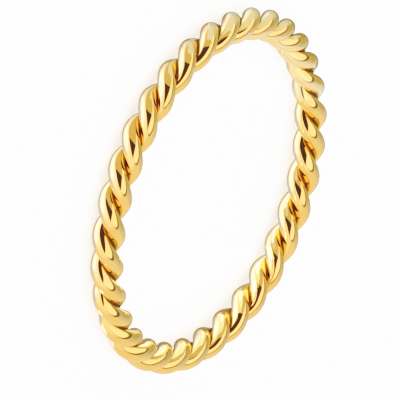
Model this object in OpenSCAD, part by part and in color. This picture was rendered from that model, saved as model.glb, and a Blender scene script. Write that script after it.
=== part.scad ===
// Rope twist ring: two round wires laid together in a twist, fused where they touch and
// closed into a ring. The ring lies on its side. Its own axis is Z, its centre is over the
// origin, and the undersides of the wires rest on the plane Z = 0. Sizes are in millimetres.

/* [Ring] */
// Clear inside diameter, which sets the finger size
inner_d = 17.2; // [13:0.1:24]

/* [Wires] */
// Diameter of each round wire
wire_d = 0.98; // [0.7:0.01:1.5]
// Depth to which the two wires are fused into one another
fused_depth = 0.18; // [0.02:0.01:0.4]

/* [Twist] */
// Half turns round the whole ring, where an odd count makes both wires one endless wire
half_turns = 31; // [18:1:44]
// Hand of the twist
twist_hand = "left"; // [left, right]

/* [Hidden] */

gold = [0.90, 0.70, 0.32];

// Flat facets round the outside of each wire, an even number
facets_per_wire = 10;
// Cross sections along each half turn, an even number
sections_per_half_turn = 8;
// Halvings used to find where the two wires meet
neck_search_steps = 30;

wire_r = wire_d / 2;
// From the middle of the rope to the middle of each wire
wire_offset = wire_r - fused_depth / 2;
// Half the full thickness of the rope
rope_r = wire_offset + wire_r;
// From the ring's axis to the middle of the rope
centreline_r = inner_d / 2 + rope_r;
// Length of rope in one full turn of the twist
turn_length = 2 * PI * centreline_r / (half_turns / 2);
// Slope of each wire against the rope
helix_angle = atan(2 * PI * wire_offset / turn_length);
// A point on the side of a sloping wire reaches the square cross section this far on in the twist
side_lag = 360 / turn_length * wire_r * sin(helix_angle);
hand = twist_hand == "left" ? 1 : -1;

// The square cross section of one sloping round wire, at angle a round the wire
function wire_point(a) =
    let (
        across = wire_offset + wire_r * cos(a),
        along = wire_r * cos(helix_angle) * sin(a),
        lag = side_lag * sin(a)
    )
    [across * cos(lag) - along * sin(lag), across * sin(lag) + along * cos(lag)];

// Angle round the wire at which it meets the other wire, on the line across the rope's middle
function neck_angle(low = 0, high = 180, steps = neck_search_steps) =
    let (middle = (low + high) / 2)
    steps == 0 ? middle
    : wire_point(middle).x > 0 ? neck_angle(middle, high, steps - 1)
    : neck_angle(low, middle, steps - 1);

// Outline of the two fused wires: one wire from neck to neck, then the same turned half round
neck = neck_angle();
one_wire = [for (i = [0 : facets_per_wire - 1]) wire_point(neck * (2 * i / facets_per_wire - 1))];
outline = concat(one_wire, [for (p = one_wire) -p]);
outline_count = 2 * facets_per_wire;
section_count = sections_per_half_turn * half_turns;

// A point of the outline, turned by the twist and carried round the ring
function ring_point(p, around, twist) =
    let (
        out = centreline_r + p.x * cos(twist) - p.y * sin(twist),
        up = rope_r + p.x * sin(twist) + p.y * cos(twist)
    )
    [out * cos(around), out * sin(around), up];

// Number of the point i of the outline in section s. The last section is the first one again,
// reached after all the half turns, so its points are counted on by as many half outlines.
function point_number(s, i) =
    s < section_count ? s * outline_count + i % outline_count
    : (i + half_turns * facets_per_wire) % outline_count;

// One cell of the skin as two triangles that share its shorter diagonal
function cell(s, i) =
    let (
        a = point_number(s, i),
        b = point_number(s, i + 1),
        c = point_number(s + 1, i + 1),
        d = point_number(s + 1, i)
    )
    hand > 0 ? [[a, b, d], [b, c, d]] : [[a, b, c], [a, c, d]];

// The whole band: both wires, fused and closed into a ring
module twisted_band() {
    points = [
        for (s = [0 : section_count - 1])
            let (share = s / section_count)
            for (p = outline) ring_point(p, 360 * share, hand * 180 * half_turns * share)
    ];
    faces = [
        for (s = [0 : section_count - 1])
            for (i = [0 : outline_count - 1])
                for (triangle = cell(s, i)) triangle
    ];
    color(gold) polyhedron(points = points, faces = faces, convexity = 6);
}

twisted_band();
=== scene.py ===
import math
from typing import NamedTuple

import bpy
from bpy.props import BoolProperty, FloatProperty, FloatVectorProperty, IntProperty, PointerProperty
from bpy.types import Operator, Panel, PropertyGroup
from mathutils import Matrix, Vector


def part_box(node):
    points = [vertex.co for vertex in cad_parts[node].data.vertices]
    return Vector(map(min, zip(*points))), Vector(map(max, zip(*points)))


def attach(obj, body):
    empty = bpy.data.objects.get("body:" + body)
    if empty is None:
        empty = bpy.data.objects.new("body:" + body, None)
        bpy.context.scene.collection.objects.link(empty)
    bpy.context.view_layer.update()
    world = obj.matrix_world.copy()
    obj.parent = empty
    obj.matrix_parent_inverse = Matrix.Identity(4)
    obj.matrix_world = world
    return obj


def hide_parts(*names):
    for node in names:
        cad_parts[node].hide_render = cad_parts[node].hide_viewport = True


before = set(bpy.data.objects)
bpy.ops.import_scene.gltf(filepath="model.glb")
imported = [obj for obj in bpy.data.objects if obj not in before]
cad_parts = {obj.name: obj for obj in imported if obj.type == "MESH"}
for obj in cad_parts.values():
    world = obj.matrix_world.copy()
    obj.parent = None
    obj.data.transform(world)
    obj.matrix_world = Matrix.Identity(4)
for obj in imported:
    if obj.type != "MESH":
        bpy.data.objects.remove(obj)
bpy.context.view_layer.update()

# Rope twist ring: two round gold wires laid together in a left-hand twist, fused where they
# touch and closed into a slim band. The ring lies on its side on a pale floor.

bl_info = {
    "name": "Rope Twist Ring",
    "version": (1, 0, 0),
    "blender": (4, 5, 0),
    "location": "3D View > Sidebar > Rope Ring",
    "description": "Models a polished rope twist ring and the studio that it is shown in",
    "category": "Add Mesh",
}

BAND_NODE = "twisted_band"
BODY = "root"

# Points nearer to each other than this are one point, in metres
SAME_POINT = 1e-6
# Nearness at which the cut through the rope's middle takes a point as lying on it, in metres
CUT_NEARNESS = 1e-8

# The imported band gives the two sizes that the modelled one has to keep
band_low, band_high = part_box(BAND_NODE)
packed_thickness = band_high.z - band_low.z
packed_ring_radius = band_high.x - packed_thickness / 2


class BandSizes(PropertyGroup):
    """Sizes of the twisted band"""

    ring_radius: FloatProperty(
        name="Ring radius",
        description="From the ring's own axis to the middle of the rope",
        default=packed_ring_radius,
        min=0.005,
        unit="LENGTH",
        precision=5,
    )
    thickness: FloatProperty(
        name="Band thickness",
        description="Full thickness of the rope, over both wires",
        default=packed_thickness,
        min=0.001,
        unit="LENGTH",
        precision=5,
    )
    wire_diameter: FloatProperty(
        name="Wire diameter",
        description="Thickness of each of the two round wires",
        default=0.00098,
        min=0.0003,
        unit="LENGTH",
        precision=5,
    )
    groove_fillet: FloatProperty(
        name="Groove fillet",
        description="Width of the fillet that the solder leaves on each side of the groove",
        default=0.00004,
        min=0.000005,
        unit="LENGTH",
        precision=6,
    )
    half_turns: IntProperty(
        name="Half turns",
        description="Half turns of the twist round the whole ring",
        default=31,
        min=3,
    )
    left_hand: BoolProperty(
        name="Left-hand twist",
        description="Twist to the left, as in the packed band, or to the right",
        default=True,
    )
    points_round_wire: IntProperty(
        name="Points round the wire",
        description="Points round the full circle of one wire, a multiple of four",
        default=44,
        min=12,
    )
    steps_per_half_turn: IntProperty(
        name="Steps per half turn",
        description="Cross sections along each half turn of the twist",
        default=32,
        min=8,
    )
    fillet_steps: IntProperty(
        name="Fillet steps",
        description="Flats across each groove's fillet",
        default=4,
        min=1,
    )


class GoldFinish(PropertyGroup):
    """Colour and polish of the gold"""

    colour: FloatVectorProperty(
        name="Gold",
        description="Colour of the polished gold",
        subtype="COLOR",
        size=3,
        min=0,
        max=1,
        default=(0.88, 0.64, 0.31),
    )
    second_colour: FloatVectorProperty(
        name="Second gold",
        description="Slightly redder gold that it drifts to from place to place",
        subtype="COLOR",
        size=3,
        min=0,
        max=1,
        default=(0.87, 0.62, 0.29),
    )
    # Painted shade: a darker gold that stands in for the shade on the groove walls
    wall_shade_colour: FloatVectorProperty(
        name="Groove walls",
        description="Darker gold of the less polished walls of the grooves",
        subtype="COLOR",
        size=3,
        min=0,
        max=1,
        default=(0.72, 0.56, 0.25),
    )
    # Painted shade: the brown that stands in for the shade at the bottom of the grooves
    groove_shade_colour: FloatVectorProperty(
        name="Groove",
        description="Brown that the gold turns to at the bottom of the grooves",
        subtype="COLOR",
        size=3,
        min=0,
        max=1,
        default=(0.40, 0.28, 0.09),
    )
    roughness: FloatProperty(
        name="Roughness",
        description="Roughness of the mirror polish",
        default=0.04,
        min=0,
        max=1,
    )
    groove_roughness: FloatProperty(
        name="Groove roughness",
        description="Roughness that is added at the bottom of the grooves",
        default=0.20,
        min=0,
        max=1,
    )
    groove_floor: FloatProperty(
        name="Groove floor",
        description="Distance from the rope's middle up to which the groove is fully brown",
        default=0.00042,
        unit="LENGTH",
        precision=5,
    )
    wall_floor: FloatProperty(
        name="Wall foot",
        description="Distance from the rope's middle where the groove's walls begin",
        default=0.00048,
        unit="LENGTH",
        precision=5,
    )
    groove_edge: FloatProperty(
        name="Groove edge",
        description="Distance from the rope's middle where the polished gold begins",
        default=0.00060,
        unit="LENGTH",
        precision=5,
    )
    wave_scale: FloatProperty(
        name="Wave scale",
        description="Soft waves in the polish, as a count on each metre",
        default=700.0,
        min=0,
    )
    wave_height: FloatProperty(
        name="Wave height",
        description="Height of the soft waves in the polish",
        default=0.00006,
        unit="LENGTH",
        precision=6,
    )
    lines_across: FloatProperty(
        name="Lines across",
        description="Fineness of the polish lines, round the wire",
        default=6.0,
        min=0,
    )
    lines_along: FloatProperty(
        name="Lines along",
        description="Fineness of the polish lines, along the wire",
        default=20.0,
        min=0,
    )
    line_share: FloatProperty(
        name="Line height",
        description="Height of the polish lines, as a share of the waves' height",
        default=0.01,
        min=0,
    )


class StudioSetup(PropertyGroup):
    """Camera, floor and light"""

    azimuth: FloatProperty(
        name="Camera azimuth",
        description="Direction of the camera round the ring, from the front",
        default=math.radians(2.9),
        subtype="ANGLE",
    )
    elevation: FloatProperty(
        name="Camera elevation",
        description="Height of the camera above the plane of the ring, as an angle",
        default=math.radians(29.7),
        subtype="ANGLE",
    )
    roll: FloatProperty(
        name="Camera roll",
        description="Turn of the camera about its own line of sight",
        default=math.radians(110.5),
        subtype="ANGLE",
    )
    distance: FloatProperty(
        name="Camera distance",
        description="From the camera to the middle of the ring",
        default=0.475,
        unit="LENGTH",
    )
    lens: FloatProperty(
        name="Lens",
        description="Focal length of the long lens, in millimetres",
        default=790.0,
        min=50,
    )
    ring_right: FloatProperty(
        name="Ring to the right",
        description="How far the ring's middle lies right of the picture's middle",
        default=0.00056,
        unit="LENGTH",
        precision=5,
    )
    ring_above: FloatProperty(
        name="Ring above",
        description="How far the ring's middle lies above the picture's middle",
        default=0.00047,
        unit="LENGTH",
        precision=5,
    )
    floor_size: FloatProperty(
        name="Floor size",
        description="Side of the square floor",
        default=3.0,
        unit="LENGTH",
    )
    floor_colour: FloatVectorProperty(
        name="Floor",
        description="Colour of the pale floor",
        subtype="COLOR",
        size=3,
        min=0,
        max=1,
        default=(0.80, 0.80, 0.80),
    )
    floor_glow: FloatProperty(
        name="Floor glow",
        description="Brightness that the floor has from within, like a light table",
        default=0.45,
        min=0,
    )
    tent_colour: FloatVectorProperty(
        name="Tent",
        description="Colour of the white tent, where no patch covers it",
        subtype="COLOR",
        size=3,
        min=0,
        soft_max=2,
        default=(0.77, 0.75, 0.75),
    )
    cloth_brightness: FloatProperty(
        name="Cloth brightness",
        description="Brightness of the tent's plain cloth, as it lights the floor",
        default=1.55,
        min=0,
    )
    backdrop_brightness: FloatProperty(
        name="Backdrop brightness",
        description="Brightness of the plain backdrop that shows past the floor",
        default=1.7,
        min=0,
    )


# The band's shape


def deselect_all():
    """Leaves nothing selected, because the frame's loading selects its own objects."""
    for item in bpy.context.selected_objects:
        item.select_set(False)


def apply_modifier(piece, kind, name, **settings):
    """Adds a modifier of one kind to the active piece, sets it and applies it."""
    modifier = piece.modifiers.new(name, kind)
    for setting, value in settings.items():
        setattr(modifier, setting, value)
    bpy.ops.object.modifier_apply(modifier=name)


def select_points(piece, wanted):
    """In edit mode, selects the points of the piece for which wanted(place) is true."""
    bpy.ops.mesh.select_mode(type="VERT")
    bpy.ops.mesh.select_all(action="DESELECT")
    bpy.ops.object.mode_set(mode="OBJECT")
    for point in piece.data.vertices:
        point.select = wanted(point.co)
    bpy.ops.object.mode_set(mode="EDIT")


def edited_points(piece):
    """The points of a piece that is in edit mode, as last changed."""
    piece.update_from_editmode()
    return piece.data.vertices


def draw_wire_section(sizes):
    """Draws one wire's outline in the square cross section of a rope that runs along X."""
    wire_radius = sizes.wire_diameter / 2
    offset = sizes.thickness / 2 - wire_radius
    turn_per_metre = sizes.half_turns / 2 / sizes.ring_radius
    if not sizes.left_hand:
        turn_per_metre = -turn_per_metre
    # The wire leans as the twist does, so its round outline stands askew to the rope
    lean = math.atan(turn_per_metre * offset)
    bpy.ops.mesh.primitive_circle_add(
        vertices=sizes.points_round_wire,
        radius=wire_radius,
        location=(0, offset, 0),
        rotation=(0, math.pi / 2 + lean, 0),
    )
    section = bpy.context.object
    bpy.ops.object.transform_apply(location=True, rotation=True, scale=True)
    # Each point follows the twist to the square cross section, and is then pressed flat into it
    reach = 2 * wire_radius * math.sin(abs(lean))
    apply_modifier(
        section,
        "SIMPLE_DEFORM",
        "Carry along the twist",
        deform_method="TWIST",
        deform_axis="X",
        angle=turn_per_metre * reach,
    )
    bpy.ops.object.mode_set(mode="EDIT")
    bpy.ops.mesh.select_all(action="SELECT")
    bpy.ops.transform.resize(value=(0, 1, 1), center_override=(0, 0, 0))
    bpy.ops.object.mode_set(mode="OBJECT")
    return section


def fuse_wires(section, sizes):
    """Cuts the wire's outline at the rope's middle, adds the second wire and fills the grooves."""
    fillet = sizes.groove_fillet
    on_the_cut = fillet / 100
    too_near = 1.6 * fillet
    bpy.ops.object.mode_set(mode="EDIT")
    bpy.ops.mesh.select_all(action="SELECT")
    bpy.ops.mesh.bisect(
        plane_co=(0, 0, 0), plane_no=(0, 1, 0), clear_inner=True, threshold=CUT_NEARNESS
    )
    # No point may stand nearer to the cut than the fillet reaches
    cuts = [point.co.copy() for point in edited_points(section) if abs(point.co.y) < on_the_cut]
    select_points(
        section,
        lambda place: abs(place.y) >= on_the_cut
        and any((place - cut).length < too_near for cut in cuts),
    )
    bpy.ops.mesh.dissolve_verts()
    bpy.ops.mesh.select_all(action="SELECT")
    bpy.ops.mesh.duplicate()
    bpy.ops.transform.rotate(value=math.pi, orient_axis="X", center_override=(0, 0, 0))
    bpy.ops.mesh.select_all(action="SELECT")
    bpy.ops.mesh.remove_doubles(threshold=SAME_POINT)
    select_points(section, lambda place: abs(place.y) < on_the_cut)
    bpy.ops.mesh.bevel(offset=fillet, affect="VERTICES", segments=sizes.fillet_steps, profile=0.5)
    bpy.ops.object.mode_set(mode="OBJECT")


def twist_rope(section, sizes):
    """Screws the fused section along X into the whole length of straight rope."""
    turned = math.pi * sizes.half_turns
    steps = sizes.half_turns * sizes.steps_per_half_turn
    apply_modifier(
        section,
        "SCREW",
        "Lay the rope",
        axis="X",
        angle=-turned if sizes.left_hand else turned,
        screw_offset=2 * math.pi * sizes.ring_radius,
        steps=steps,
        render_steps=steps,
        iterations=1,
        use_smooth_shade=True,
    )


def close_ring(rope, sizes):
    """Bends the straight rope round into a ring, joins its ends and lays it on the floor."""
    apply_modifier(
        rope,
        "SIMPLE_DEFORM",
        "Close the ring",
        deform_method="BEND",
        deform_axis="Z",
        angle=2 * math.pi,
    )
    bpy.ops.object.mode_set(mode="EDIT")
    bpy.ops.mesh.select_all(action="SELECT")
    bpy.ops.mesh.remove_doubles(threshold=SAME_POINT)
    bpy.ops.mesh.normals_make_consistent(inside=False)
    bpy.ops.object.mode_set(mode="OBJECT")
    rope.location = (sizes.ring_radius, 0, sizes.thickness / 2)
    rope.rotation_euler = (0, 0, math.pi / 2)
    bpy.ops.object.transform_apply(location=True, rotation=True, scale=True)
    bpy.ops.object.shade_smooth()


# Nodes


def new_node(tree, kind, settings=None, **inputs):
    """Adds a node, sets its own settings, and sets or links its inputs by name or as i0, i1."""
    node = tree.nodes.new(kind)
    for name, value in (settings or {}).items():
        setattr(node, name, value)
    for name, value in inputs.items():
        socket = node.inputs[int(name[1:]) if name[1:].isdigit() else name.replace("_", " ")]
        if isinstance(value, bpy.types.NodeSocket):
            tree.links.new(value, socket)
        else:
            socket.default_value = value
    return node


def vector_maths(tree, operation, *values):
    """Adds a Vector Math node with its inputs in order."""
    inputs = {f"i{number}": value for number, value in enumerate(values)}
    return new_node(tree, "ShaderNodeVectorMath", {"operation": operation}, **inputs)


def maths(tree, operation, *values):
    """Adds a Math node with its inputs in order, and gives its result."""
    inputs = {f"i{number}": value for number, value in enumerate(values)}
    return new_node(tree, "ShaderNodeMath", {"operation": operation}, **inputs).outputs[0]


def mix_colours(tree, label, share, first, second):
    """Adds a Mix node for two colours, and gives its result."""
    node = new_node(
        tree, "ShaderNodeMix", {"data_type": "RGBA", "label": label}, i0=share, i6=first, i7=second
    )
    return node.outputs[2]


def smooth_step(tree, value, low, high, at_low=0.0, at_high=1.0):
    """Adds a Map Range node that goes softly from one value to another, and gives its result."""
    node = new_node(
        tree,
        "ShaderNodeMapRange",
        {"interpolation_type": "SMOOTHSTEP"},
        Value=value,
        From_Min=low,
        From_Max=high,
        To_Min=at_low,
        To_Max=at_high,
    )
    return node.outputs[0]


# The gold

# Range in which the values of the soft waves' noise and of the polish lines' noise mostly lie
WAVE_NOISE = (0.35, 0.65)
LINE_NOISE = (0.3, 0.7)
# Roughness where polish lines lie, as a multiple of that of the mirror polish
LINE_ROUGHNESS = 1.6


def rope_place(tree, sizes, place):
    """Where a point lies in the rope: its distance from the rope's middle, and its two angles."""
    parts = new_node(tree, "ShaderNodeSeparateXYZ", Vector=place)
    level = vector_maths(tree, "MULTIPLY", place, (1, 1, 0)).outputs[0]
    from_axis = vector_maths(tree, "LENGTH", level).outputs["Value"]
    outward = maths(tree, "SUBTRACT", from_axis, sizes.ring_radius)
    upward = maths(tree, "SUBTRACT", parts.outputs["Z"], sizes.thickness / 2)
    section = new_node(tree, "ShaderNodeCombineXYZ", X=outward, Y=upward).outputs[0]
    from_middle = vector_maths(tree, "LENGTH", section).outputs["Value"]
    round_ring = maths(tree, "ARCTAN2", parts.outputs["Y"], parts.outputs["X"])
    round_rope = maths(tree, "ARCTAN2", upward, outward)
    return from_middle, round_ring, round_rope


def polish_lines(tree, sizes, finish, round_ring, round_rope):
    """Fine lines that polishing leaves along each wire, as a noise that follows the twist."""
    turns = sizes.half_turns if sizes.left_hand else -sizes.half_turns
    twist = maths(tree, "MULTIPLY", round_ring, turns)
    round_wire = maths(tree, "SUBTRACT", maths(tree, "MULTIPLY", round_rope, 2), twist)
    across, along = finish.lines_across, finish.lines_along
    place = new_node(
        tree,
        "ShaderNodeCombineXYZ",
        X=maths(tree, "MULTIPLY", maths(tree, "COSINE", round_wire), across),
        Y=maths(tree, "MULTIPLY", maths(tree, "SINE", round_wire), across),
        Z=maths(tree, "MULTIPLY", maths(tree, "COSINE", round_ring), along),
    )
    lines = new_node(
        tree,
        "ShaderNodeTexNoise",
        {"noise_dimensions": "4D"},
        Vector=place.outputs[0],
        W=maths(tree, "MULTIPLY", maths(tree, "SINE", round_ring), along),
        Scale=1.0,
        Detail=3.0,
    )
    return lines.outputs["Fac"]


def gold_material(sizes, finish):
    """Mirror-polished yellow gold, dull in the grooves that no wheel reaches, with painted shade
    that darkens the grooves to brown.
    """
    material = bpy.data.materials.new("Polished gold")
    material.use_nodes = True
    tree = material.node_tree
    shader = tree.nodes["Principled BSDF"]
    shader.inputs["Metallic"].default_value = 1.0
    place = new_node(tree, "ShaderNodeTexCoord").outputs["Object"]
    from_middle, round_ring, round_rope = rope_place(tree, sizes, place)
    lines = polish_lines(tree, sizes, finish, round_ring, round_rope)
    waves = new_node(
        tree, "ShaderNodeTexNoise", Vector=place, Scale=finish.wave_scale, Detail=1.0
    ).outputs["Fac"]
    # Painted shade: the gold darkens down the groove walls and turns brown at the groove bottoms,
    # where shade falls
    wall = smooth_step(tree, from_middle, finish.wall_floor, finish.groove_edge, 1.0, 0.0)
    groove = smooth_step(tree, from_middle, finish.groove_floor, finish.wall_floor, 1.0, 0.0)
    tone = smooth_step(tree, waves, *WAVE_NOISE)
    gold = mix_colours(tree, "Gold", tone, (*finish.colour, 1), (*finish.second_colour, 1))
    colour = mix_colours(tree, "Groove walls", wall, gold, (*finish.wall_shade_colour, 1))
    colour = mix_colours(tree, "Groove", groove, colour, (*finish.groove_shade_colour, 1))
    tree.links.new(colour, shader.inputs["Base Color"])
    # The mirror is a little softer where polish lines lie, and dull in the grooves
    softest = LINE_ROUGHNESS * finish.roughness
    gloss = smooth_step(tree, lines, *LINE_NOISE, finish.roughness, softest)
    dull = maths(tree, "MULTIPLY", groove, finish.groove_roughness)
    tree.links.new(maths(tree, "ADD", gloss, dull), shader.inputs["Roughness"])
    # Polishing by hand leaves the wires softly uneven
    height = maths(tree, "MULTIPLY_ADD", lines, finish.line_share, waves)
    bump = new_node(tree, "ShaderNodeBump", Height=height, Distance=finish.wave_height)
    tree.links.new(bump.outputs[0], shader.inputs["Normal"])
    return material


class ROPE_RING_OT_band(Operator):
    """Model the twisted band and give it its polished gold"""

    bl_idname = "rope_ring.band"
    bl_label = "Add Twisted Band"

    def execute(self, context):
        sizes = context.scene.rope_ring_band
        deselect_all()
        band = draw_wire_section(sizes)
        band.name = "polished_band"
        band.data.name = "polished_band"
        fuse_wires(band, sizes)
        twist_rope(band, sizes)
        close_ring(band, sizes)
        band.data.materials.append(gold_material(sizes, context.scene.rope_ring_gold))
        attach(band, BODY)
        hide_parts(BAND_NODE)
        return {"FINISHED"}


# Camera, floor and light

# Nearest and farthest distance that the camera sees, in metres
CAMERA_RANGE = (0.01, 10)
FLOOR_ROUGHNESS = 0.5


def place_camera(studio, middle):
    """Sets the camera at the photograph's angle to the ring, turned about its line of sight."""
    level = math.cos(studio.elevation)
    back = Vector(
        (
            math.sin(studio.azimuth) * level,
            -math.cos(studio.azimuth) * level,
            math.sin(studio.elevation),
        )
    )
    turn = back.to_track_quat("Z", "Y").to_matrix() @ Matrix.Rotation(studio.roll, 3, "Z")
    bpy.ops.object.camera_add()
    camera = bpy.context.object
    camera.name = "camera"
    aside = turn @ Vector((-studio.ring_right, -studio.ring_above, 0))
    place = middle + back * studio.distance + aside
    camera.matrix_world = Matrix.Translation(place) @ turn.to_4x4()
    camera.data.lens = studio.lens
    camera.data.clip_start, camera.data.clip_end = CAMERA_RANGE
    bpy.context.scene.camera = camera
    bpy.context.view_layer.update()
    return camera


def make_floor(studio):
    """The plain pale floor, lit a little from within like a light table."""
    bpy.ops.mesh.primitive_plane_add(size=studio.floor_size)
    floor = bpy.context.object
    floor.name = "floor"
    material = bpy.data.materials.new("Pale floor")
    material.use_nodes = True
    shader = material.node_tree.nodes["Principled BSDF"]
    shader.inputs["Base Color"].default_value = (*studio.floor_colour, 1)
    shader.inputs["Roughness"].default_value = FLOOR_ROUGHNESS
    shader.inputs["Emission Color"].default_value = (1, 1, 1, 1)
    shader.inputs["Emission Strength"].default_value = studio.floor_glow
    floor.data.materials.append(material)
    # The gold mirrors the tent all round, below too, as it does on a clear stand
    floor.visible_glossy = False


class TentPatch(NamedTuple):
    """One soft patch of the tent, where a mirror ball in the ring's place shows it."""

    name: str
    shape: str
    across: float
    up: float
    half_width: float
    half_height: float
    turn: float
    edge: float
    colour: tuple


# Places and sizes go by the mirror ball's radius, turns are in degrees, edge is the share of the
# size over which the patch fades, and each patch lies over those before it
TENT_PATCHES = (
    TentPatch("left edge", "oval", -0.80, 0.15, 0.35, 0.80, -10, 0.40, (0.72, 0.84, 1.20)),
    TentPatch("top edge", "oval", -0.12, 0.90, 0.38, 0.20, 5, 0.40, (0.95, 1.05, 1.35)),
    TentPatch("warm table", "oval", -0.22, -0.76, 0.95, 0.58, 6, 0.28, (1.12, 0.93, 0.73)),
    TentPatch("back wall", "oval", 0.50, 0.80, 0.60, 0.28, -40, 0.40, (0.53, 0.48, 0.32)),
    TentPatch("right edge", "oval", 0.84, 0.20, 0.12, 0.32, -5, 0.50, (0.58, 0.58, 0.50)),
    TentPatch("under the lens", "oval", -0.25, -0.20, 0.42, 0.30, 0, 0.35, (1.45, 1.20, 0.95)),
    TentPatch("seam", "oval", 0.35, 0.06, 0.33, 0.50, -25, 0.05, (0.27, 0.26, 0.24)),
    TentPatch("right panel", "oval", 0.31, 0.09, 0.31, 0.48, -25, 0.05, (1.9, 1.35, 1.05)),
    TentPatch("left glow", "oval", -0.38, 0.27, 0.25, 0.56, -10, 0.20, (1.9, 1.40, 1.40)),
    TentPatch("left panel", "oval", -0.56, 0.26, 0.20, 0.38, -14, 0.30, (2.8, 2.3, 2.4)),
    TentPatch("ceiling", "oval", 0.14, 0.49, 0.42, 0.36, 0, 0.10, (0.80, 0.69, 0.53)),
    TentPatch("lens opening", "triangle", 0.04, 0.07, 0.185, 0.19, -15, 0.10, (0.16, 0.13, 0.14)),
    TentPatch("far end", "surround", 0.0, -0.03, 0.96, 0.96, 0, 0.03, (0.42, 0.40, 0.34)),
)


def patch_reach(tree, shape, place):
    """How far a place lies from the middle of a patch, where 1 is its outline."""
    if shape == "oval":
        return vector_maths(tree, "LENGTH", place).outputs["Value"]
    if shape == "surround":
        return maths(tree, "SUBTRACT", 2, vector_maths(tree, "LENGTH", place).outputs["Value"])
    sides = []
    for turn in (90, 210, 330):
        outward = (math.cos(math.radians(turn)), math.sin(math.radians(turn)), 0)
        sides.append(vector_maths(tree, "DOT_PRODUCT", place, outward).outputs["Value"])
    return maths(tree, "MAXIMUM", maths(tree, "MAXIMUM", sides[0], sides[1]), sides[2])


def patch_mask(tree, chart, patch):
    """Mask of one soft patch on the mirror ball's chart."""
    centred = vector_maths(tree, "SUBTRACT", chart, (patch.across, patch.up, 0))
    turned = new_node(
        tree,
        "ShaderNodeVectorRotate",
        {"rotation_type": "Z_AXIS"},
        Vector=centred.outputs[0],
        Angle=math.radians(-patch.turn),
    )
    size = (patch.half_width, patch.half_height, 1)
    scaled = vector_maths(tree, "DIVIDE", turned.outputs[0], size)
    reach = patch_reach(tree, patch.shape, scaled.outputs[0])
    return smooth_step(tree, reach, 1 - patch.edge, 1 + patch.edge, 1.0, 0.0)


def light_tent(studio, right, up, back):
    """The white tent round the ring, drawn as a mirror ball in the ring's place shows it."""
    world = bpy.data.worlds.new("White tent")
    bpy.context.scene.world = world
    world.use_nodes = True
    tree = world.node_tree
    way = new_node(tree, "ShaderNodeTexCoord").outputs["Generated"]
    half_way = vector_maths(tree, "NORMALIZE", vector_maths(tree, "ADD", way, back).outputs[0])
    across = vector_maths(tree, "DOT_PRODUCT", half_way.outputs[0], right).outputs["Value"]
    upward = vector_maths(tree, "DOT_PRODUCT", half_way.outputs[0], up).outputs["Value"]
    chart = new_node(tree, "ShaderNodeCombineXYZ", X=across, Y=upward).outputs[0]
    colour = (*studio.tent_colour, 1)
    for patch in TENT_PATCHES:
        mask = patch_mask(tree, chart, patch)
        colour = mix_colours(tree, patch.name, mask, colour, (*patch.colour, 1))
    ray = new_node(tree, "ShaderNodeLightPath").outputs
    cloth = (*[studio.cloth_brightness] * 3, 1)
    colour = mix_colours(tree, "Plain cloth over the floor", ray["Is Diffuse Ray"], colour, cloth)
    backdrop = (*[studio.backdrop_brightness] * 3, 1)
    colour = mix_colours(tree, "Plain behind the floor", ray["Is Camera Ray"], colour, backdrop)
    tree.links.new(colour, tree.nodes["Background"].inputs["Color"])


class SmallCard(NamedTuple):
    """A small card close to the ring, placed as the picture shows it, in metres and degrees."""

    name: str
    across: float
    up: float
    near: float
    width: float
    depth: float
    turn: float
    colour: tuple


SMALL_CARDS = (
    SmallCard("over the top", 0.0045, 0.0135, 0.0015, 0.011, 0.016, 0, (0.20, 0.37, 0.52)),
    SmallCard("under the top", 0.0055, 0.005, -0.003, 0.009, 0.014, 180, (0.07, 0.22, 0.44)),
    SmallCard("right card", 0.0025, 0.007, -0.008, 0.006, 0.010, 0, (0.9, 0.95, 1.2)),
    SmallCard("bottom card", -0.0035, -0.003, 0.0, 0.006, 0.010, 0, (0.75, 0.7, 0.65)),
    SmallCard("low right card", 0.001, -0.003, -0.004, 0.0045, 0.008, 0, (0.55, 0.6, 0.45)),
    SmallCard("left card", -0.010, -0.011, 0.0005, 0.005, 0.007, 290, (0.9, 1.0, 1.2)),
)


def hold_cards(middle, right, up, back):
    """Holds the small cards close to the ring, where they show in the gold alone."""
    for card in SMALL_CARDS:
        place = middle + card.across * right + card.up * up + card.near * back
        bpy.ops.object.light_add(type="AREA", location=place)
        light = bpy.context.object
        light.name = card.name
        light.data.shape = "RECTANGLE"
        light.data.size = card.width
        light.data.size_y = card.depth
        light.data.color = card.colour
        light.data.energy = math.pi * card.width * card.depth
        # Unturned, the lit side looks down the picture, and the depth runs along the line of sight
        angle = math.radians(card.turn)
        behind = math.cos(angle) * up + math.sin(angle) * right
        aside = math.cos(angle) * right - math.sin(angle) * up
        turn = Matrix((aside, behind.cross(aside), behind)).transposed()
        light.rotation_euler = turn.to_euler()
        light.visible_camera = False


# The picture's response, as pairs of scene brightness and picture brightness
RESPONSE = (
    (0.0, 0.0),
    (0.13, 0.065),
    (0.2, 0.165),
    (0.31, 0.32),
    (0.48, 0.51),
    (0.73, 0.73),
    (1.12, 0.939),
    (1.72, 0.991),
    (2.0, 1.0),
)


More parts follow.
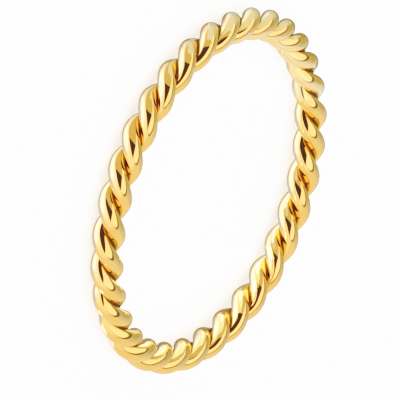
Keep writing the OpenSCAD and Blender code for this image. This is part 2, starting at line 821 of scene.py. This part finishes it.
def set_response(scene):
    """Gives the picture a soft shoulder and a short toe."""
    view = scene.view_settings
    view.view_transform = "Standard"
    view.use_curve_mapping = True
    mapping = view.curve_mapping
    white = RESPONSE[-1][0]
    mapping.white_level = (white, white, white)
    # The last curve is the one for all colours together
    curve = mapping.curves[3]
    for brightness, shown in RESPONSE[1:-1]:
        curve.points.new(brightness / white, shown)
    mapping.update()


class ROPE_RING_OT_studio(Operator):
    """Add the floor, the light and the camera"""

    bl_idname = "rope_ring.studio"
    bl_label = "Add Studio"

    def execute(self, context):
        studio = context.scene.rope_ring_studio
        deselect_all()
        make_floor(studio)
        middle = Vector((0, 0, context.scene.rope_ring_band.thickness / 2))
        camera = place_camera(studio, middle)
        axes = camera.matrix_world.to_3x3().col
        light_tent(studio, *axes)
        hold_cards(middle, *axes)
        set_response(context.scene)
        return {"FINISHED"}


class ROPE_RING_PT_panel(Panel):
    """Sidebar panel of the rope twist ring"""

    bl_idname = "ROPE_RING_PT_panel"
    bl_label = "Rope Twist Ring"
    bl_space_type = "VIEW_3D"
    bl_region_type = "UI"
    bl_category = "Rope Ring"

    def draw(self, context):
        for title, group, operator in PANEL_ROWS:
            column = self.layout.column()
            column.label(text=title)
            settings = getattr(context.scene, group)
            for name in settings.__annotations__:
                column.prop(settings, name)
            if operator:
                column.operator(operator)


PANEL_ROWS = (
    ("Band", "rope_ring_band", "rope_ring.band"),
    ("Gold", "rope_ring_gold", None),
    ("Studio", "rope_ring_studio", "rope_ring.studio"),
)
CLASSES = (
    BandSizes,
    GoldFinish,
    StudioSetup,
    ROPE_RING_OT_band,
    ROPE_RING_OT_studio,
    ROPE_RING_PT_panel,
)


# The add-on


def register():
    for cls in CLASSES:
        bpy.utils.register_class(cls)
    bpy.types.Scene.rope_ring_band = PointerProperty(type=BandSizes)
    bpy.types.Scene.rope_ring_gold = PointerProperty(type=GoldFinish)
    bpy.types.Scene.rope_ring_studio = PointerProperty(type=StudioSetup)


def unregister():
    del bpy.types.Scene.rope_ring_studio
    del bpy.types.Scene.rope_ring_gold
    del bpy.types.Scene.rope_ring_band
    for cls in reversed(CLASSES):
        bpy.utils.unregister_class(cls)


def main():
    register()
    bpy.ops.rope_ring.band()
    bpy.ops.rope_ring.studio()


if __name__ == "__main__":
    main()
